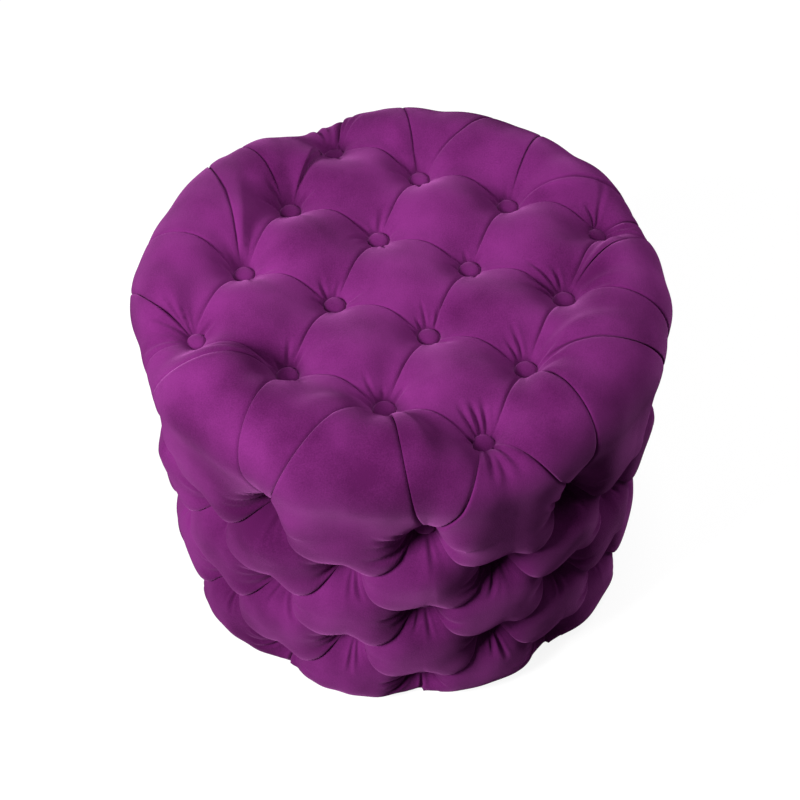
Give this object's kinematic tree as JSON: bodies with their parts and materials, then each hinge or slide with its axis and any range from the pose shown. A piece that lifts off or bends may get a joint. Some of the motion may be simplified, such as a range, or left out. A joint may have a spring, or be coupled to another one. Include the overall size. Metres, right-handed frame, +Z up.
{
  "type": "round tufted tuffet",
  "caption": "Round deep-buttoned footstool with an overhanging padded top on an upholstered drum.",
  "frame": {"origin": "on the floor under the middle of the drum", "axes": "+Z up; the square grid of top buttons lies along X and Y"},
  "size_m": [0.5317, 0.5266, 0.4145],
  "materials": {
    "velvet": "matte short-pile velvet",
    "foam": "open foam",
    "plywood": "sanded, unfinished",
    "softwood": "planed, unfinished",
    "hardboard": "smooth",
    "black_cloth": "matte",
    "black_plastic": "satin",
    "zinc_steel": "zinc plated"
  },
  "bodies": {
    "root": {"top_cover": "velvet", "side_cover_right": "velvet", "side_cover_left": "velvet", "top_foam": "foam", "side_foam": "foam", "top_button_1": "velvet", "top_button_2": "velvet", "top_button_3": "velvet", "top_button_4": "velvet", "top_button_5": "velvet", "top_button_6": "velvet", "top_button_7": "velvet", "top_button_8": "velvet", "top_button_9": "velvet", "top_button_10": "velvet", "top_button_11": "velvet", "top_button_12": "velvet", "top_button_13": "velvet", "top_button_14": "velvet", "top_button_15": "velvet", "top_button_16": "velvet", "side_buttons_row_1": "velvet", "side_buttons_row_2": "velvet", "side_buttons_row_3": "velvet", "side_buttons_row_4": "velvet", "side_buttons_row_5": "velvet", "top_board": "plywood", "base_board": "plywood", "side_skin": "hardboard", "post_1": "softwood", "top_screw_1": "zinc_steel", "base_screw_1": "zinc_steel", "post_2": "softwood", "top_screw_2": "zinc_steel", "base_screw_2": "zinc_steel", "post_3": "softwood", "top_screw_3": "zinc_steel", "base_screw_3": "zinc_steel", "post_4": "softwood", "top_screw_4": "zinc_steel", "base_screw_4": "zinc_steel", "dust_cover": "black_cloth", "glide_1": "black_plastic", "glide_2": "black_plastic", "glide_3": "black_plastic", "glide_4": "black_plastic"}
  },
  "joints": []
}
